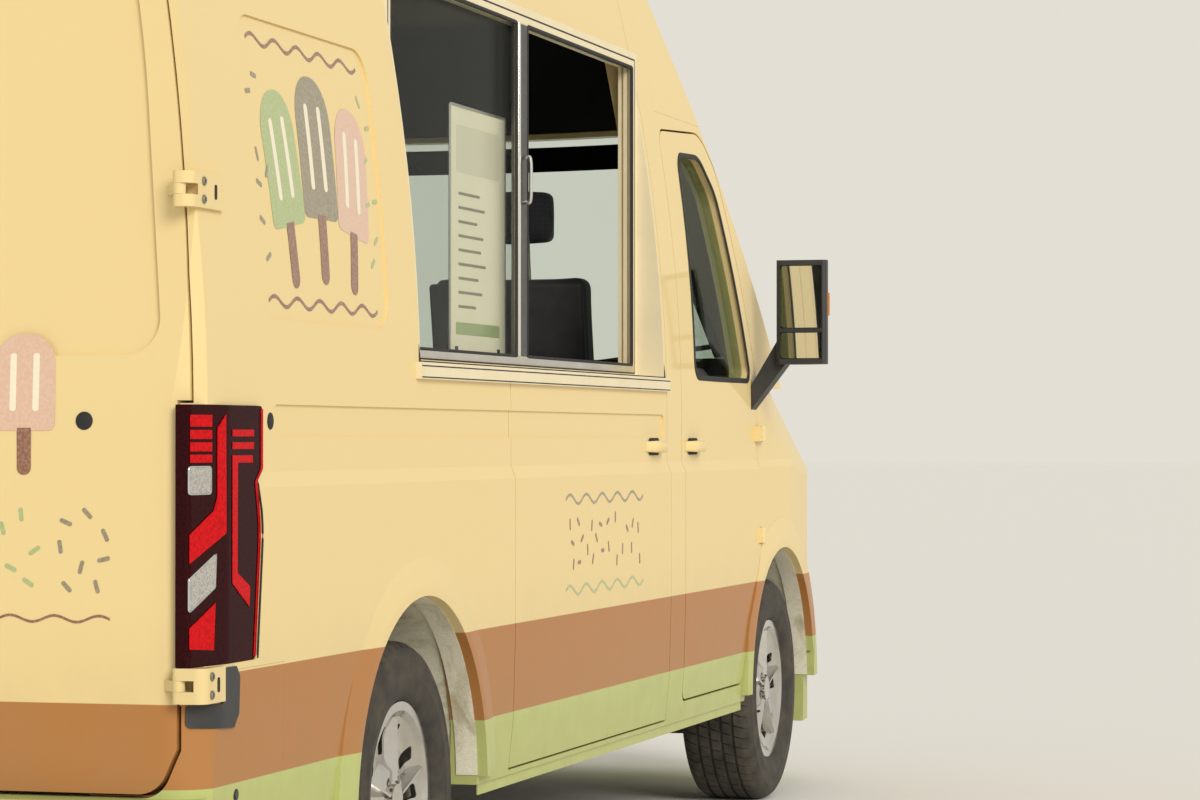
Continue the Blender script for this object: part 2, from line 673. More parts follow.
def tail_lamp_details(side, word):
    """Prisms inside the tall rear lamp: bars, arrow, square, slanted fields and the lit edge line."""
    place = on_lamp(side)
    left = -2.9385
    bars = [rectangle(-2.937, -2.859, z, z + tall)
            for z, tall in ((1.172, 0.022), (1.149, 0.017), (1.126, 0.017), (1.105, 0.015))]
    arrow = [(-2.839, 1.170), (-2.808, 1.195), (-2.806, 0.972), (-2.893, 0.937), (left, 0.918), (left, 0.972),
             (-2.852, 1.015), (-2.839, 1.040)]
    triangle = [(left, 0.799), (-2.846, 0.842), (-2.852, 0.754), (left, 0.760)]
    side_bars = [rectangle(-2.778, -2.664, z, z + 0.013) for z in (1.154, 1.130)]
    hook = [(-2.778, 1.118), (-2.670, 1.118), (-2.670, 1.104), (-2.750, 1.104), (-2.751, 0.895),
            (-2.684, 0.867), (-2.687, 0.828), (-2.778, 0.876)]
    film("lamp_prisms_" + word, bars + [arrow, triangle], place, lamp_red, 0.0008, 0.0012)
    film("lamp_side_prisms_" + word, side_bars + [hook], place, lamp_red, 0.0006, 0.001)
    square = rectangle(left, -2.861, 1.047, 1.097, 0.006)
    slanted = [(left, 0.889), (-2.842, 0.934), (-2.846, 0.871), (left, 0.828)]
    film("lamp_clear_fields_" + word, [square, slanted], place, lamp_clear, 0.0008, 0.0012)
    beading("lamp_square_frame_" + word, square, place, 0.005, 0.003, reflector)
    rounded = bend([point + (0.004,) for point in slanted])
    beading("lamp_slant_frame_" + word, rounded, place, 0.004, 0.003, reflector)
    front = bend([(-2.9, 1.213), (-2.9, 0.726), (-2.651, 0.728), (-2.621, 0.976, 0.200),
                  (-2.643, 1.067, 0.008), (-2.612, 1.091, 0.008), (-2.612, 1.2125)])[2:]
    edge = [(x - 0.0015, min(max(z, 0.732), 1.207)) for x, z in front]
    inner = [(x - 0.012, z) for x, z in reversed(edge)]
    film("lamp_edge_line_" + word, [edge + inner], place, lamp_edge, 0.0006, 0.001)
    # Rubber gasket between the lamp and the body
    body_skin = on_side(side)
    path = [body_skin(x + 0.0015, z, 0.0004) for x, z in front]
    swept("lamp_gasket_" + word, path, ring_section(0.0022, 8), rubber)


def hinge_details(side, word):
    """Screws, slot and end cap of the rear door hinges, and the moulded corner under the lower one."""
    screw = [(0, -0.002), (0.0085, -0.002), (0.0085, 0.0025), (0.007, 0.004), (0.004, 0.004),
             (0.0034, 0.0012), (0, 0.0012)]
    cap = [(0, 0.01), (0.0118, 0.01), (0.0118, 0.029), (0.0105, 0.0325), (0.006, 0.0335), (0, 0.0335)]
    for level, z, screw_x, slot_x in (("upper", 1.613, -2.884, -2.824), ("lower", 0.692, -2.914, -2.880)):
        face = side * (skin(z) + 0.012)
        for index, rise in enumerate((-0.017, 0.017)):
            turned(f"hinge_screw_{level}_{index}_{word}", screw, (screw_x, face, z + rise), (0, side, 0),
                   zinc, 20)
        slot = rectangle(slot_x - 0.006, slot_x + 0.006, z - 0.014, z + 0.014, 0.005)
        film(f"hinge_slot_{level}_{word}", [slot], on_flat(1, face, side), rubber, 0.0002, 0.0008)
        turned(f"hinge_pin_cap_{level}_{word}", cap, (-2.935, side * 0.975, z), (0, 0, 1), zinc, 24)
    guard = [(0.045, 0.612, 0.010), (0.190, 0.604, 0.004), (0.2135, 0.630, 0.004), (0.2135, 0.700, 0.004),
             (0.196, 0.720, 0.004), (0.131, 0.720, 0.004), (0.131, 0.654, 0.002), (0.045, 0.654, 0.004)]
    film("hinge_corner_guard_" + word, [bend(guard, 3)], round_corner(side), plastic, 0.0015, 0.004,
         step=0.02)


def side_trim(side, word):
    """Small things on a side: drain plug, distance sensor, felt on the arches' lips, sill edge."""
    place = on_side(side)
    turned("side_plug_" + word, PLUG, place(-2.550, 1.184, 0), (0, side, 0), rubber, 28)
    sensor = [(0, 0.002), (0.0085, 0.002), (0.009, 0.0008), (0.0115, 0.0008), (0.012, -0.001), (0, -0.001)]
    turned("distance_sensor_" + word, sensor, place(-2.745, 0.474, 0), (0, side, 0), black_plastic, 28)
    for axle, x, _ in AXLES:
        def on_arch(turn, depth, lift):
            reach = ARCH_RADIUS - lift
            return Vector((x + reach * cos(turn), side * depth, AXLE_Z + reach * sin(turn)))
        lip = rectangle(radians(2), radians(178), 0.952, 1.004)
        film(f"arch_lip_felt_{axle}_{word}", [lip], on_arch, felt, 0.0, 0.0015, step=0.06)
    flange = [(x, side * (skin(0.35) - 0.018), 0.3345) for x in (-1.155, 1.530)]
    swept("sill_flange_" + word, flange, rectangle(-0.0015, 0.0015, -0.0165, 0.0125), side_paint)


def handle(name, place, u, v, long, finish, body="van"):
    """Pull handle: a bowed grip over a shallow dark cup."""
    cup = rectangle(u - long * 0.36, u + long * 0.36, v - 0.024, v + 0.024, 0.020)
    film(name + "_cup", [cup], place, rubber, 0.0004, 0.0008, body)
    reach, thick, half_wide, belly, steps, sides = 0.034, 0.008, 0.014, 0.003, 24, 12
    angles = [2 * pi * k / sides for k in range(sides)]
    made = bmesh.new()
    rings = []
    for t in (step / steps for step in range(steps + 1)):
        bow = reach * (1 - (2 * t - 1) ** 4) - thick
        wide = half_wide + belly * (1 - (2 * t - 1) ** 2)
        rings.append([made.verts.new(place(u + (t - 0.5) * long, v + wide * cos(angle),
                                           max(0.0003, bow + thick * sin(angle)))) for angle in angles])
    for one, two in zip(rings, rings[1:]):
        bridge(made, one, two)
    made.faces.new(rings[0])
    made.faces.new(rings[-1])
    put(name, made, finish, body, 50)


def rear_details():
    """Handle, blank plate, lamps and seals of the rear end."""
    place = on_rear()
    back, door = (-1, 0, 0), "rear_door_left"
    sensor = [(0, 0.0015), (0.0085, 0.0015), (0.009, 0.0005), (0.0115, 0.0005), (0.012, -0.003), (0, -0.003)]
    bumper_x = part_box("rear_bumper")[0][0]
    for side, word in SIDES:
        turned("rear_plug_" + word, PLUG, place(side * 0.777, 1.183, 0), back, rubber, 28,
               "rear_door_" + word)
        for index, (y, sunk) in enumerate(((0.30, 0.0042), (0.72, 0.0162))):
            spot = (bumper_x + sunk, side * y, 0.445)
            turned(f"rear_sensor_{index}_{word}", sensor, spot, back, black_plastic, 28)
    # Number plate without characters, in its moulded frame, with two lamps in the hood above it
    plate = rectangle(0.175, 0.695, 0.825, 0.935, 0.006)
    border = rectangle(0.165, 0.705, 0.815, 0.945, 0.008)
    film("plate_frame", [border], place, black_plastic, 0.0004, 0.005, door)
    film("plate_blank", [plate], place, plate_white, 0.0056, 0.0012, door)
    beading("plate_rim", plate, on_rear(-0.0066), 0.003, 0.0016, black_plastic, door)
    hood = [(0.15, 0.975, 0.012), (0.72, 0.975, 0.012), (0.70, 1.020, 0.020), (0.17, 1.020, 0.020)]
    film("plate_lamp_hood", [bend(hood)], place, plastic, 0.0004, 0.024, door)
    for index, y in enumerate((0.30, 0.57)):
        lamp = rectangle(y - 0.03, y + 0.03, 0.968, 0.9745, 0.002)
        film(f"plate_lamp_{index}", [lamp], place, lamp_clear, 0.006, 0.012, door)
    handle("rear_handle", place, 0.105, 1.105, 0.150, plastic, door)
    lock = [(0, 0.004), (0.009, 0.004), (0.0105, 0.002), (0.0105, -0.001), (0, -0.001)]
    turned("rear_lock", lock, place(0.205, 1.105, 0), back, zinc, 24, door)
    seal = [(rear(z) + 0.006, 0, z) for z in (0.500, 0.8, 1.2, 1.6, 2.0, 2.400)]
    section = [(-0.003, -0.006), (0.003, -0.006), (0.003, 0.004), (0, 0.006), (-0.003, 0.004)]
    swept("middle_seal", seal, section, rubber, door, (1, 0, 0))
    # High brake lamp above the doors
    lamp = rectangle(-0.15, 0.15, 2.495, 2.520, 0.008)
    film("high_brake_lamp", [lamp], place, lamp_red, 0.0005, 0.008)
    beading("high_brake_lamp_seal", lamp, place, 0.008, 0.005, rubber)
    pitch, half = 0.026, 0.004
    ribs = [rectangle(k * pitch - half, k * pitch + half, REAR_X - 0.050, REAR_X + 0.040)
            for k in range(-18, 19)]
    film("step_tread_ribs", ribs, lambda y, x, lift: Vector((x, y, STEP_TOP_Z + lift)), rubber, 0.0, 0.0022)


def serving_window_details():
    """Gaskets, stiles, grip, ledge strips, board and clips of the serving window."""
    plane = on_flat(1, -WINDOW_FACE, -1)
    for name, low_x, high_x in PANES:
        gasket = rectangle(low_x + 0.001, high_x - 0.001, PANE_LOW, PANE_TOP, 0.008)
        beading(name + "_gasket", gasket, on_flat(1, 0.004 - WINDOW_FACE, -1), 0.010, 0.007, rubber)
    for index, x in enumerate(GROOVE_ENDS):
        film(f"frame_groove_{index}", [rectangle(x - 0.002, x + 0.002, 1.335, 2.210)], plane, rubber, 0.0001)
    for index, z in enumerate((1.333, 2.211)):
        groove = rectangle(*GROOVE_ENDS, z - 0.002, z + 0.002)
        film(f"frame_groove_flat_{index}", [groove], plane, rubber, 0.0001)
    # Seal between the lining and the painted skin
    edge = rectangle(-1.6245, 0.5465, 1.3195, 2.2315, 0.003)
    beading("opening_seal", edge, on_side(-1), 0.007, 0.004, rubber)
    # Slim bright stile, then the sliding pane's dark free edge, which laps it
    block("pane_stile", (-0.6095, -0.930, 1.3545), (-0.5915, -0.9225, 2.1895), 0.0025, bright_bar)
    film("sliding_pane_edge", [rectangle(-0.590, -0.5225, 1.356, 2.188, 0.002)], plane, frit, -0.0006, 0.0012)
    grip = [(-0.540, -(0.924 + lift), z)
            for z, lift in ((1.745, 0.0), (1.746, 0.014), (1.80, 0.016), (1.854, 0.014), (1.855, 0.0))]
    swept("pane_grip", curve(grip, 6), ring_section(0.0045), anodised, up=(0, 1, 0))
    # Aluminium stile on the sliding pane's free edge
    stile = [(-0.531, -0.895, 1.350), (-0.531, -0.895, 2.194)]
    swept("sliding_pane_stile", stile, rectangle(-0.006, 0.006, -0.010, 0.012), anodised, up=(1, 0, 0))
    for index, z in enumerate((1.3545, 2.1895)):
        rail = rectangle(-0.519, 0.504, z - 0.0015, z + 0.0015)
        film(f"track_lip_{index}", [rail], on_flat(1, -TRACK_FACE, -1), black_plastic, 0, 0.004)
    # Bare metal strip under the panes, and two dark lines along the ledge
    film("track_strip", [rectangle(-1.601, 0.523, 1.3365, 1.3535)], plane, anodised, 0.0003, 0.0009)
    for index, z in enumerate((1.286, 1.311)):
        line = rectangle(-1.645, 0.558, z - 0.0014, z + 0.0014)
        film(f"ledge_line_{index}", [line], on_flat(1, -LEDGE_FACE, -1), rubber, 0, 0.0004)
    # Price board, left blank, in a snap frame that stands on the window's lower bar
    sheet = rectangle(-1.020, -0.575, 1.3565, 1.950, 0.004)
    board = on_flat(1, -BOARD_FACE, -1)
    film("sign_board", [sheet], board, white_card, 0.0, BOARD_THICK)
    start, top, pitch, half = -0.955, 1.74, 0.034, 0.0035
    rules = [rectangle(start, start + wide, top - k * pitch - half, top - k * pitch + half, 0.003)
             for k, wide in enumerate((0.17, 0.21, 0.15, 0.20, 0.18, 0.22, 0.16, 0.19, 0.14))]
    for name, fields, tint in (("panel_upper", [rectangle(-0.975, -0.620, 1.790, 1.905, 0.012)], print_pale),
                               ("panel_band", [rectangle(-0.975, -0.620, 1.400, 1.430, 0.006)], print_green),
                               ("rules", rules, print_grey)):
        film("sign_" + name, fields, board, tint, 0.0041, 0.0003)
    beading("sign_snap_frame", sheet, on_flat(1, -BOARD_FACE - BOARD_THICK, -1), 0.008, 0.003, anodised)
    for index, x in enumerate((-0.97, -0.63)):
        block(f"sign_clip_{index}", (x - 0.012, -0.8835, 1.350), (x + 0.012, -0.874, 1.372), 0.002,
              black_plastic)


def outline_of(node, grow):
    """Side view outline round a flat node, grown a little."""
    flat = sorted({(round(v.co.x, 4), round(v.co.z, 4)) for v in nodes[node].data.vertices})

    def half(points):
        chain = []
        for point in points:
            while len(chain) > 1:
                (ax, az), (bx, bz) = chain[-2], chain[-1]
                if (bx - ax) * (point[1] - az) - (bz - az) * (point[0] - ax) > 0:
                    break
                chain.pop()
            chain.append(point)
        return chain[:-1]

    hull = [Vector(point) for point in half(flat) + half(list(reversed(flat)))]
    middle = sum(hull, Vector((0, 0))) / len(hull)
    spaced = []
    for here, after in zip(hull, hull[1:] + hull[:1]):
        pieces = max(1, int((after - here).length / 0.02))
        for step in range(pieces):
            spot = here.lerp(after, step / pieces)
            spaced.append(tuple(spot + (spot - middle).normalized() * grow))
    return spaced


def door_details(side, word):
    """Window seals, handle, lock and inner things of a cab door."""
    door = "front_door_" + word
    place = on_side(side)
    edge = outline_of("door_glass_" + word, 0.004)
    beading("door_window_seal_" + word, edge, place, 0.016, 0.004, rubber, door)
    handle("door_handle_" + word, place, 0.865, 1.128, 0.170, door_paint, door)
    lock = [(0, 0.003), (0.008, 0.003), (0.0095, 0.001), (0.0095, -0.001), (0, -0.001)]
    turned("door_lock_" + word, lock, place(0.985, 1.128, 0), (0, side, 0), zinc, 24, door)
    inner = side * (skin(1.0) - DOOR_DEPTH)
    # Thing on the inner face, its x, how far it stands out, its z, and its edges' radius
    for name, x_low, x_high, out, z_low, z_high, radius in (
            ("pocket", 0.86, 1.40, 0.045, 0.55, 0.70, 0.012),
            ("arm_rest", 0.90, 1.32, 0.050, 1.02, 1.065, 0.014)):
        block(f"door_{name}_{word}", (x_low, inner, z_low), (x_high, inner - side * out, z_high), radius,
              plastic, door)
    pull = [(x, inner - side * out, 1.15)
            for x, out in ((1.36, 0.0), (1.365, 0.025), (1.42, 0.032), (1.475, 0.025), (1.48, 0.0))]
    swept("door_release_" + word, curve(pull, 5), ring_section(0.006, 8), reflector, door)


def mirror_details(side, word):
    """Silvered glasses, seals and repeater lamp of a door mirror."""
    door = "front_door_" + word
    back = on_flat(0, MIRROR_BACK_X, -1)
    for name, low_z, high_z in (("wide", 1.398, 1.476), ("main", 1.492, 1.682)):
        pane = rectangle(*sorted((side * 1.106, side * 1.234)), low_z, high_z, 0.010)
        film(f"mirror_glass_{name}_{word}", [pane], back, mirror_silver, 0.0008, 0.0016, door)
        beading(f"mirror_glass_seal_{name}_{word}", pane, back, 0.004, 0.0032, rubber, door)
    block("mirror_repeater_" + word, (1.622, side * 1.2440, 1.53), (1.652, side * 1.2488, 1.60), 0.0008,
          lamp_amber, door)


def lolly_prints(prefix, spots, place, tints, body="van"):
    """Generic ice lollies in the flat tints of the printed film, at spots (u, v, height, tilt)."""
    bar = bend([(-0.24, 0, 0.05), (0.24, 0, 0.05), (0.24, 0.70, 0.22), (-0.24, 0.70, 0.22)], 8)
    stick = bend([(-0.055, -0.32, 0.05), (0.055, -0.32, 0.05), (0.055, 0.02, 0.005), (-0.055, 0.02, 0.005)])
    grooves = [rectangle(middle - 0.025, middle + 0.025, 0.14, 0.56, 0.02) for middle in (-0.09, 0.09)]
    for index, ((u, v, tall, tilt), tint) in enumerate(zip(spots, tints)):
        turn = Matrix.Rotation(tilt, 2)
        for name, shapes, finish, lift in (("bar", [bar], tint, 0.0005),
                                           ("stick", [stick], print_brown, 0.0008),
                                           ("grooves", grooves, print_pale, 0.0008)):
            outlines = [moved(shape, (u, v), turn, tall) for shape in shapes]
            film(f"{prefix}_{name}_{index}", outlines, place, finish, lift, 0.0002, body)


def sprinkles(name, u_low, u_high, v_low, v_high, count, length, place, tint, seed, body="van"):
    """Short rounded strokes scattered over a field, none of them touching."""
    dice = random.Random(seed)
    spots = []
    tries = 0
    while len(spots) < count and tries < 4000:
        tries += 1
        spot = Vector((dice.uniform(u_low, u_high), dice.uniform(v_low, v_high)))
        if all((spot - other).length > length * 1.7 for other in spots):
            spots.append(spot)
    thick = length * 0.16
    stroke = rectangle(-length / 2, length / 2, -thick, thick, thick * 0.9, 3)
    strokes = [moved(stroke, spot, Matrix.Rotation(dice.uniform(0, pi), 2)) for spot in spots]
    film(name, strokes, place, tint, 0.0005, 0.0002, body)


def wave(name, u_low, u_high, v, height, period, thick, place, tint, body="van"):
    """Even wave line, like dripping sauce."""
    steps = max(8, int((u_high - u_low) / period * 16))
    top = []
    for step in range(steps + 1):
        u = u_low + (u_high - u_low) * step / steps
        top.append((u, v + height * sin(2 * pi * (u - u_low) / period)))
    low = [(u, z - thick) for u, z in reversed(top)]
    film(name, [top + low], place, tint, 0.0005, 0.0002, body)


def decorations():
    """Plain sweets-shop motifs in the film's colours, where the bodywork carries its prints."""
    spots = [(-2.385, 1.575, 0.39, 0.14), (-2.195, 1.600, 0.42, 0.0), (-2.005, 1.575, 0.39, -0.14)]
    for side, word in SIDES:
        field, flank, back, door = on_side(side, 0.006), on_side(side), on_rear(), "rear_door_" + word
        lolly_prints("side_lolly_" + word, spots, field, (print_green, print_grey, print_pink))
        lolly_prints("rear_lolly_" + word, [(side * 0.655, 1.165, 0.26, 0.0)], back, (print_pink,), door)
        # Name, ends, height, swing, period, thickness, surface, tint
        for name, *shape in (
                ("side_wave_upper", -2.53, -1.88, 1.945, 0.010, 0.13, 0.008, field, print_brown),
                ("side_wave_lower", -2.53, -1.88, 1.425, 0.010, 0.13, 0.008, field, print_brown),
                ("side_long_wave", -0.50, 0.26, 1.000, 0.012, 0.152, 0.007, flank, print_grey),
                ("side_long_wave_low", -0.50, 0.26, 0.770, 0.012, 0.152, 0.007, flank, print_green)):
            wave(f"{name}_{word}", *shape)
        ends = sorted((side * 0.56, side * 0.83))
        wave("rear_wave_" + word, *ends, 0.815, 0.006, 0.09, 0.005, back, print_brown, door)
        # Name, field, how many, their length, place, tint, seed
        for name, *shape in (
                ("side_sprinkles", -2.555, -2.495, 1.48, 1.90, 7, 0.030, field, print_grey, 3),
                ("side_sprinkles_front", -1.905, -1.850, 1.48, 1.90, 7, 0.030, field, print_green, 4),
                ("side_long_sprinkles", -0.48, 0.24, 0.82, 0.95, 22, 0.030, flank, print_brown, 7)):
            sprinkles(f"{name}_{word}", *shape)
        for name, near, far, count, tint, seed in (("rear_sprinkles", 0.57, 0.68, 9, print_green, 5),
                                                   ("rear_sprinkles_out", 0.72, 0.82, 8, print_grey, 6)):
            ends = sorted((side * near, side * far))
            sprinkles(f"{name}_{word}", *ends, 0.87, 1.02, count, 0.026, back, tint, seed, door)


def wheel_details(axle, x, middle, side, word):
    """Wheel bolts, valve and detailed tyre of one wheel."""
    body, out = f"wheel_{axle}_{word}", (0, side, 0)
    hub = Vector((x, side * (middle + HUB_OUT), AXLE_Z))
    bolt = [(0, 0.012), (0.006, 0.012), (0.0085, 0.010), (0.0088, 0), (0, 0)]
    for index in range(BOLTS):
        angle = 2 * pi * (index + 0.5) / BOLTS + pi / 2
        spot = hub + Vector((cos(angle), 0, sin(angle))) * BOLT_REACH - Vector((0, side * 0.0215, 0))
        turned(f"wheel_bolt_{index}_{axle}_{word}", bolt, spot, out, zinc, 6, body)
    ring = [(0, -0.0042), (0.026, -0.0045), (0.031, -0.0035), (0.034, -0.0035), (0.0355, -0.0052)]
    turned(f"hub_ring_{axle}_{word}", ring, hub, out, alloy, 40, body)
    angle = radians(VALVE_TURN)
    foot = hub + Vector((cos(angle), 0, sin(angle))) * VALVE_REACH - Vector((0, side * 0.016, 0))
    stem = [(0, 0.030), (0.0035, 0.030), (0.0042, 0.026), (0.0042, 0.016), (0.0032, 0.012), (0.0045, 0),
            (0, 0)]
    turned(f"valve_{axle}_{word}", stem, foot, (-cos(angle) * 0.4, side, -sin(angle) * 0.4), rubber, 14, body)
    replace_tyre(x, side, middle, body, f"{axle}_{word}")


def tyre_rows():
    """Rows round a tyre as (radius, y, depth of the cuts): a wall, the tread with four grooves, a wall."""
    wall = [(0.2035, -0.071), (0.2187, -0.0815), (0.2200, -0.094), (0.226, -0.1020), (0.236, -0.1085),
            (0.250, -0.1140), (0.268, -0.1164), (0.270, -0.1172), (0.274, -0.1172), (0.276, -0.1164),
            (0.292, -0.1156), (0.308, -0.1135), (0.310, -0.1140), (0.313, -0.1135), (0.315, -0.1122),
            (0.325, -0.1095), (0.336, -0.1030), (0.344, -0.0930), (0.3490, -0.0840)]
    shoulder = [(0.3500, 0.0810), (0.3513, 0.0700), (0.3516, 0.0620)]
    lug, edge = 0.0065, 0.004
    cuts = [0] * (len(wall) - 2) + [edge] * 2
    one = [(r, y, cut) for (r, y), cut in zip(wall, cuts)]
    tread = [(r, -y, lug) for r, y in shoulder]
    for groove in (-0.056, -0.019, 0.019, 0.056):
        tread += [(0.3518, groove - 0.0052, lug), (0.3440, groove - 0.0035, 0), (0.3440, groove + 0.0035, 0),
                  (0.3518, groove + 0.0052, lug)]
        if groove < 0.05:
            tread += [(0.3519, groove + 0.0185, lug)]
    tread += [(r, y, lug) for r, y in reversed(shoulder)]
    return one + tread + [(r, -y, cut) for r, y, cut in reversed(one)]


def replace_tyre(x, side, middle, body, word):
    """Tyre with four running grooves, slanted tread blocks, shoulder lugs and raised rings on its walls."""
    # Tread pitches round the tyre, and how many of them a cut slants forward per metre across the tread
    pitches, slant = 60, 9
    # Places along one pitch, with 1 where the cut between two blocks is at its full depth
    parts = ((0.0, 0), (0.015, 1), (0.105, 1), (0.12, 0), (0.56, 0))
    made = bmesh.new()
    rings = []
    for radius, y, cut in tyre_rows():
        ring = []
        for pitch in range(pitches):
            for part, deep in parts:
                angle = 2 * pi * (pitch + part + y * slant) / pitches
                reach = radius - cut * deep
                spot = (x + reach * cos(angle), side * (middle + y), AXLE_Z + reach * sin(angle))
                ring.append(made.verts.new(spot))
        rings.append(ring)
    for index, ring in enumerate(rings):
        bridge(made, ring, rings[(index + 1) % len(rings)])
    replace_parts(put("tread_tyre_" + word, made, tyre_rubber, body, 28), "tyre_" + word)


def strut_spring(side, word):
    """Coil spring round a front strut."""
    radius, foot_z, height, turns, steps = 0.057, 0.780, 0.18, 5, 18
    path = []
    for step in range(turns * steps + 1):
        angle = 2 * pi * step / steps
        path.append((FRONT_AXLE_X + radius * cos(angle), side * STRUT_Y + radius * sin(angle),
                     foot_z + height * step / (turns * steps)))
    swept("strut_spring_" + word, path, ring_section(0.0065, 8), frame_steel)


def headlamp_details(side, word):
    """Clear cover, black bowl, reflectors and bulbs in place of the plain lamp."""
    source = bmesh.new()
    source.from_mesh(nodes["headlamps"].data)
    bmesh.ops.delete(source, geom=[v for v in source.verts if v.co.y * side < 0], context="VERTS")
    source.normal_update()
    out = Vector((0.69, 0.69 * side, 0.2)).normalized()
    cover = source.copy()
    bmesh.ops.delete(cover, geom=[f for f in cover.faces if f.normal.dot(out) < 0.5], context="FACES")
    bmesh.ops.delete(source, geom=[f for f in source.faces if f.normal.dot(out) >= 0.5], context="FACES")
    for piece in (put("headlamp_cover_" + word, cover, clear_cover),
                  put("headlamp_bowl_" + word, source, black_plastic)):
        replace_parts(piece, "headlamps")
    bulb = [(0, 0.006), (0.008, 0.004), (0.011, -0.004), (0.011, -0.022), (0, -0.022)]
    for index, (x, y, z, radius) in enumerate(((2.845, 0.700, 0.905, 0.052), (2.790, 0.815, 0.915, 0.046))):
        centre, ahead = (x, side * y, z), (1, 0.35 * side, 0)
        dish = [(0, -0.024), (radius * 0.45, -0.020), (radius * 0.8, -0.004), (radius, 0.018),
                (radius + 0.004, 0.018), (radius + 0.004, -0.018), (radius * 0.5, -0.034), (0, -0.036)]
        turned(f"headlamp_reflector_{index}_{word}", dish, centre, ahead, reflector, 40)
        turned(f"headlamp_bulb_{index}_{word}", bulb, centre, ahead, lamp_clear, 20)


def front_details():
    """Headlamps, wipers, screen band, fog lamps and radiator."""
    bands = [[(-0.85, 1.345), (0.85, 1.345), (0.84, 1.410), (-0.84, 1.410)],
             [(-0.76, 1.985), (0.76, 1.985), (0.745, 2.055), (-0.745, 2.055)]]
    bands += [[(s * 0.84, 1.411), (s * 0.785, 1.411), (s * 0.695, 1.984), (s * 0.755, 1.984)]
              for s in (1, -1)]
    film("screen_band", bands, on_screen, frit, 0.0012)
    arm_section = [(-0.006, -0.004), (0.006, -0.004), (0.004, 0.004), (-0.004, 0.004)]
    blade_section = [(-0.005, -0.008), (0.005, -0.008), (0.003, 0.008), (-0.003, 0.008)]
    knob = [(0, 0.016), (0.010, 0.014), (0.013, 0.004), (0.013, -0.012), (0, -0.012)]
    fog = [(0, 0.016), (0.030, 0.014), (0.044, 0.008), (0.047, 0), (0.050, 0), (0.050, 0.004), (0.053, 0.004),
           (0.054, -0.002), (0, -0.002)]
    for side, word in SIDES:
        headlamp_details(side, word)
        pivot = side * 0.40 + 0.28
        arm = [on_screen(pivot - y, z, lift)
               for y, z, lift in ((0, 1.36, 0.010), (0.05, 1.375, 0.030), (0.35, 1.42, 0.022))]
        swept("wiper_arm_" + word, curve(arm, 5), arm_section, black_plastic)
        blade = [on_screen(pivot - 0.07 - 0.062 * k, 1.385 + 0.0065 * k, 0.012) for k in range(11)]
        swept("wiper_blade_" + word, blade, blade_section, rubber)
        turned("wiper_pivot_" + word, knob, on_screen(pivot, 1.36, 0.006), (0.75, 0, 0.66), black_plastic, 24)
        block("fog_lamp_panel_" + word, (2.889, side * 0.563, 0.353), (2.896, side * 0.757, 0.467), 0.002,
              black_plastic)
        turned("fog_lamp_" + word, fog, (2.897, side * 0.66, 0.41), (1, 0, 0), lamp_clear, 40)
    core = on_flat(0, RADIATOR_X, 1)
    film("radiator_core", [rectangle(-0.54, 0.54, 0.700, 0.980)], core, frame_steel, -0.03, 0.03, step=0.2)
    pitch, start, thick = 0.0176, -0.52, 0.0055
    fins = [rectangle(start + k * pitch, start + k * pitch + thick, 0.705, 0.975) for k in range(60)]
    film("radiator_fins", fins, core, cast, 0.0, 0.004, step=0.3)


def upholstered(soft):
    """Smooths a cushion, lets it ride on the van and says how full it is stuffed."""
    smooth = soft.modifiers.new("fine_skin", "SUBSURF")
    smooth.levels = 1
    smooth.render_levels = 1
    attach(soft, "van")
    return soft


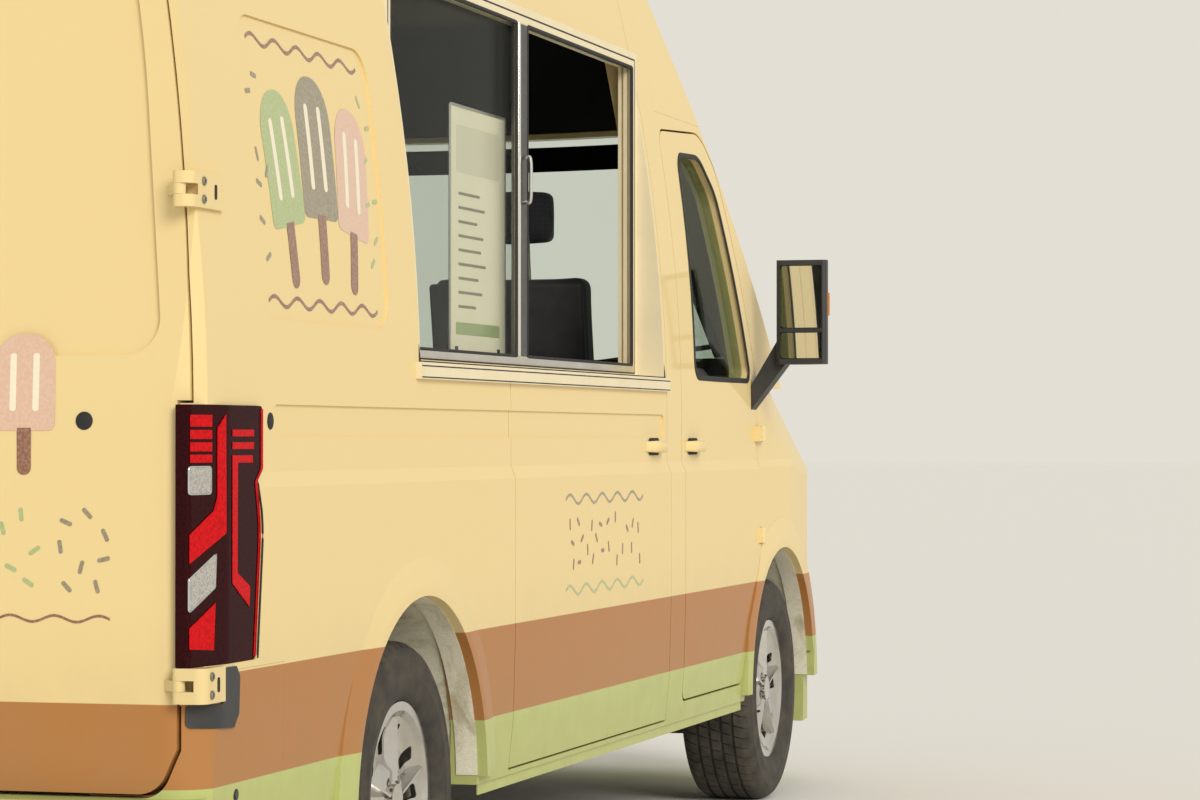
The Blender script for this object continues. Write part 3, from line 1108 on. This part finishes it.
def pillow(name, low, high, lean, finish, swell, crown, fill):
    """Upholstered cushion: a soft block, blown up by its stuffing as cloth, then held to a few millimetres
    of growth. lean shifts it backwards per metre of height, and crown raises its side wings."""
    low, high = Vector(low), Vector(high)
    size, centre = high - low, (high + low) / 2
    scene = bpy.context.scene
    made = rounded_cube(low, high, 0.28, 1, 4)
    mesh = bpy.data.meshes.new(name)
    made.to_mesh(mesh)
    made.free()
    soft = bpy.data.objects.new(name, mesh)
    scene.collection.objects.link(soft)
    even = soft.modifiers.new("even_skin", "REMESH")
    even.mode = "VOXEL"
    even.voxel_size = 0.009
    skinned = bpy.data.meshes.new_from_object(soft.evaluated_get(bpy.context.evaluated_depsgraph_get()))
    soft.modifiers.clear()
    soft.data = skinned
    stuffing = soft.modifiers.new("stuffing", "CLOTH")
    stuffing.settings.use_pressure = True
    stuffing.settings.uniform_pressure_force = 4
    stuffing.settings.effector_weights.gravity = 0
    last_frame = 20
    stuffing.point_cache.frame_start = 1
    stuffing.point_cache.frame_end = last_frame
    for number in range(1, last_frame + 1):
        scene.frame_set(number)
    blown = bpy.data.meshes.new_from_object(soft.evaluated_get(bpy.context.evaluated_depsgraph_get()))
    soft.modifiers.clear()
    for vertex, grown in zip(skinned.vertices, blown.vertices):
        move = grown.co - vertex.co
        vertex.co += move * min(1, swell / max(move.length, 1e-6))
    scene.frame_set(1)
    # The face that is sat on or leaned on carries channels across it, and a seam along each raised wing.
    # Wings and seams are placed as shares of half the width
    channel_pitch, channel_deep, channel_wide = 0.07, 0.005, 0.006
    wing_from, seam_at, seam_deep, seam_wide = 0.55, 0.58, 0.006, 0.025
    along, out = (0, 2) if size.x > size.z else (2, 0)
    for vertex in skinned.vertices:
        if vertex.co[out] > centre[out]:
            across = abs(vertex.co.y - centre.y) / (size.y / 2)
            wing = crown * max(0, across - wing_from) / (1 - wing_from)
            past = (vertex.co[along] - low[along]) % channel_pitch - channel_pitch / 2
            channel = channel_deep * exp(-(past / channel_wide) ** 2) if across < wing_from else 0
            seam = seam_deep * exp(-((across - seam_at) / seam_wide) ** 2)
            vertex.co[out] += wing - channel - seam
    for vertex in skinned.vertices:
        vertex.co.x -= lean * (vertex.co.z - low.z)
    skinned.shade_smooth()
    skinned.materials.clear()
    skinned.materials.append(finish)
    return upholstered(soft)


def twin(piece):
    """The left seat's cushion again, on the right one."""
    copied = bpy.data.objects.new(piece.name.replace("left", "right"), piece.data.copy())
    for vertex in copied.data.vertices:
        vertex.co.y -= 2 * SEAT_Y
    bpy.context.scene.collection.objects.link(copied)
    return upholstered(copied)


def seats():
    """Two cab seats: sewn cushion and back, head rest on two posts, box, recliner covers and belt."""
    # Cushion, its corners, lean, finish, swell, crown and fill
    stand_ins = [pillow(*row) for row in (
        ("seat_cushion_left", (0.925, 0.243, 0.925), (1.385, 0.717, 1.030), 0, cloth, 0.012, 0.012, 0.8),
        ("seat_back_left", (0.875, 0.243, BACK_FOOT_Z), (0.975, 0.717, 1.625), SEAT_LEAN, cloth, 0.012,
         0.014, 0.8),
        ("head_rest_left", (0.806, 0.365, 1.722), (0.876, 0.595, 1.868), 0.05, bolster, 0.008, 0.0, 0.9))]
    stand_ins += [twin(piece) for piece in stand_ins]
    cover = [(0, 0.004), (0.034, 0.003), (0.042, 0), (0.042, -0.012), (0, -0.012)]
    for side, word in SIDES:
        y = side * SEAT_Y
        # Block, its x, half its width, its z, its edges' radius and its finish
        for name, x_low, x_high, half, z_low, z_high, radius, finish in (
                ("box", 0.935, 1.315, 0.215, 0.640, 0.890, 0.020, plastic),
                ("pan", 0.905, 1.375, 0.238, 0.892, 0.918, 0.010, black_plastic),
                ("shell", 0.842, 0.868, 0.232, 1.000, 1.600, 0.012, plastic)):
            piece = block(f"seat_{name}_{word}", (x_low, y - half, z_low), (x_high, y + half, z_high),
                          radius, finish)
            stand_ins.append(piece)
        # The shell, which is the last of them, leans with the back
        for vertex in piece.data.vertices:
            vertex.co.x -= SEAT_LEAN * (vertex.co.z - BACK_FOOT_Z)
        for index, out in enumerate((-1, 1)):
            post = [(0.802 - 0.02 * t, y + out * 0.055, 1.60 + 0.14 * t) for t in (0.0, 0.5, 1.0)]
            stand_ins.append(swept(f"head_rest_post_{index}_{word}", post, ring_section(0.006, 12), zinc,
                                   up=(0, 1, 0)))
            spot = (0.925, y + out * 0.23985, 0.985)
            stand_ins.append(turned(f"recliner_cover_{index}_{word}", cover, spot, (0, out, 0), plastic, 32))
        # The right buckle's edges are left square
        stand_ins.append(block("belt_buckle_" + word, (0.955, y - side * 0.246, 1.000),
                               (0.985, y - side * 0.222, 1.075), 0.004 if side > 0 else 0, black_plastic))
        belt = [(x, side * 0.880, z)
                for x, z in ((0.800, 1.640), (0.815, 1.300), (0.835, 0.900), (0.850, 0.700))]
        swept("belt_webbing_" + word, curve(belt, 6), rectangle(-0.023, 0.023, -0.0006, 0.0006), webbing,
              up=(0, 1, 0))
    for piece in stand_ins:
        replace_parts(piece, "seats")


def cab_interior():
    """Instrument pod, screen, vents, stalks and gear lever on the dashboard."""
    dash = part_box("dashboard")[0][0]
    # Block: its x from the dashboard's face, y, z, edges' radius and finish
    rows = [("instrument_glass", 0.014, 0.019, 0.350, 0.610, 1.215, 1.290, 0.004, frit),
            ("centre_screen", -0.006, 0.004, -0.115, 0.115, 1.040, 1.160, 0.003, frit)]
    rows += [(f"switch_row_{index}", -0.004, 0.004, -0.100, 0.100, z - 0.010, z + 0.010, 0.003, black_plastic)
             for index, z in enumerate((0.985, 0.945))]
    rows += [(f"vent_{index}_slat_{slat}", -0.005, 0.003, y - 0.055, y + 0.055, 1.075 + slat * 0.022,
              1.083 + slat * 0.022, 0.002, black_plastic)
             for index, y in enumerate((-0.800, -0.200, 0.200, 0.800)) for slat in range(4)]
    for name, x_low, x_high, y_low, y_high, z_low, z_high, radius, finish in rows:
        block(name, (dash + x_low, y_low, z_low), (dash + x_high, y_high, z_high), radius, finish)
    lever = [(dash - 0.002, -0.05, 0.92), (dash - 0.035, -0.05, 0.935), (dash - 0.060, -0.05, 0.985)]
    swept("gear_lever", curve(lever, 6), ring_section(0.007), zinc, up=(0, 1, 0))
    knob = [(0, 0.034), (0.012, 0.032), (0.020, 0.020), (0.021, 0.004), (0.014, -0.014), (0.008, -0.018),
            (0, -0.018)]
    turned("gear_knob", knob, (dash - 0.066, -0.05, 1.000), (-0.35, 0, 1), soft_skin, 28)
    for index, out in enumerate((-1, 1)):
        stalk = [(x, SEAT_Y + out * reach, z)
                 for x, reach, z in ((1.535, 0.030, 1.270), (1.520, 0.090, 1.285), (1.505, 0.150, 1.300))]
        swept(f"column_stalk_{index}", curve(stalk, 5), ring_section(0.006, 8), black_plastic)


def load_space():
    """Ceiling lamps, rims of the counter's pans, and cupboard doors with their pulls."""
    for index, x in enumerate((-1.9, -0.7, 0.35)):
        block(f"ceiling_lamp_{index}", (x - 0.30, -0.045, 2.502), (x + 0.30, 0.045, 2.526), 0.010, diffuser)
    for index in range(4):
        x = -0.940 + index * PAN_PITCH
        rim = rectangle(x - 0.112, x + 0.112, -0.848, -0.472, 0.018, 6)
        beading(f"pan_rim_{index}", rim, on_flat(2, COUNTER_Z, 1), 0.018, 0.004, counter_steel)
        x = -1.060 + index * CUPBOARD_PITCH
        front = rectangle(x + 0.004, x + 0.350, 0.655, 1.225, 0.006)
        film(f"cupboard_door_{index}", [front], on_flat(1, CUPBOARD_FACE, -1), cabinet_board, 0.0006, 0.016,
             step=0.4)
        grip = [(x + 0.06, y, z) for y, z in ((0.422, 1.16), (0.406, 1.162), (0.404, 1.10), (0.406, 1.038),
                                              (0.422, 1.04))]
        swept(f"cupboard_pull_{index}", curve(grip, 4), ring_section(0.004, 8), anodised, up=(1, 0, 0))


for side, word in SIDES:
    for details in (tail_lamp_details, hinge_details, side_trim, door_details, mirror_details, strut_spring):
        details(side, word)
    for axle, x, middle in AXLES:
        wheel_details(axle, x, middle, side, word)
rear_details()
serving_window_details()
decorations()
front_details()
seats()
cab_interior()
load_space()
handle("slider_handle", on_side(-1), 0.420, 1.128, 0.170, side_paint)

# Camera, floor and light

VIEW_YAW = 0.2702
VIEW_PITCH = 0.0111
camera = bpy.data.objects.new("camera", bpy.data.cameras.new("camera"))
bpy.context.scene.collection.objects.link(camera)
camera.location = (-9.0062, -3.4648, 1.1489)
looking = Vector((cos(VIEW_PITCH) * cos(VIEW_YAW), cos(VIEW_PITCH) * sin(VIEW_YAW), sin(VIEW_PITCH)))
camera.rotation_mode = "QUATERNION"
camera.rotation_quaternion = looking.to_track_quat("-Z", "Y")
camera.data.lens = 105.6
camera.data.clip_end = 400
bpy.context.scene.camera = camera

floor_finish = surface("pale_studio_floor", "floor_board", "EFECE5", 0.85)[0]
floor_data = bmesh.new()
bmesh.ops.create_circle(floor_data, cap_ends=True, segments=96, radius=160)
floor_mesh = bpy.data.meshes.new("studio_floor")
floor_data.to_mesh(floor_mesh)
floor_data.free()
floor_mesh.materials.append(floor_finish)
studio_floor = bpy.data.objects.new("studio_floor", floor_mesh)
bpy.context.scene.collection.objects.link(studio_floor)

# Soft light from all round, and a plain pale backdrop that metal and glass show too
world = bpy.data.worlds.new("studio")
bpy.context.scene.world = world
world.use_nodes = True
sky = world.node_tree
rays = add(sky, "LightPath", {}).outputs
seen = add(sky, "Math", {0: rays["Is Camera Ray"], 1: rays["Is Glossy Ray"]}, operation="MAXIMUM")
shown = add(sky, "Math", {0: seen.outputs[0], 1: rays["Is Transmission Ray"]}, operation="MAXIMUM")
soft = sky.nodes["Background"]
soft.inputs["Color"].default_value = colour("FFFDF8")
soft.inputs["Strength"].default_value = 0.62
pale = add(sky, "Background", {"Color": colour("E3DFD5"), "Strength": 1.0})
both = add(sky, "MixShader", {0: shown.outputs[0], 1: soft.outputs[0], 2: pale.outputs[0]})
sky.links.new(both.outputs[0], sky.nodes["World Output"].inputs["Surface"])

key = bpy.data.objects.new("key_light", bpy.data.lights.new("key_light", "SUN"))
key.data.energy = 1.9
key.data.angle = radians(25)
key.data.color = colour("FFFBF4")[:3]
key.rotation_mode = "QUATERNION"
key.rotation_quaternion = Vector((0.66, 0.62, -0.40)).to_track_quat("-Z", "Y")
bpy.context.scene.collection.objects.link(key)
bpy.context.scene.view_settings.view_transform = "Standard"
